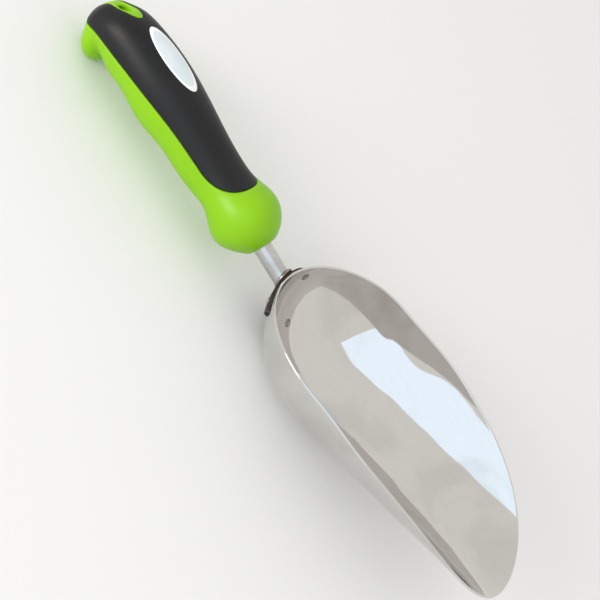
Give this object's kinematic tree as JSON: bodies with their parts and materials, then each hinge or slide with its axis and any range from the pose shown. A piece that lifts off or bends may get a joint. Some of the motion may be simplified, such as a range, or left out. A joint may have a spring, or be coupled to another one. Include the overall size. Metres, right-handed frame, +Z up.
{
  "type": "hand trowel",
  "caption": "Deep polished scoop trowel on a short steel shank, with a two-tone moulded handle and a hanging hole in its pommel.",
  "frame": {"origin": "centre of the footprint, on the surface that the trowel lies on, resting on the scoop's heel and the pommel's nose", "axes": "+X along the tool towards the scoop's tip, +Y to the left seen from the handle, +Z up with the scoop open upwards"},
  "size_m": [0.331, 0.0928, 0.0522],
  "materials": {
    "polished_sheet": "mirror polished stainless sheet",
    "polished_rod": "polished stainless rod",
    "dark_steel": "satin, heat darkened",
    "weld_steel": "as welded",
    "green_plastic": "glossy moulded lime green",
    "black_rubber": "satin soft touch",
    "badge_white": "smooth domed label"
  },
  "bodies": {
    "root": {"scoop_blade": "polished_sheet", "saddle_plate": "dark_steel", "spot_welds": "weld_steel", "shank": "polished_rod", "shank_weld": "weld_steel", "handle_core": "green_plastic", "soft_grip": "black_rubber", "badge": "badge_white"}
  },
  "joints": []
}
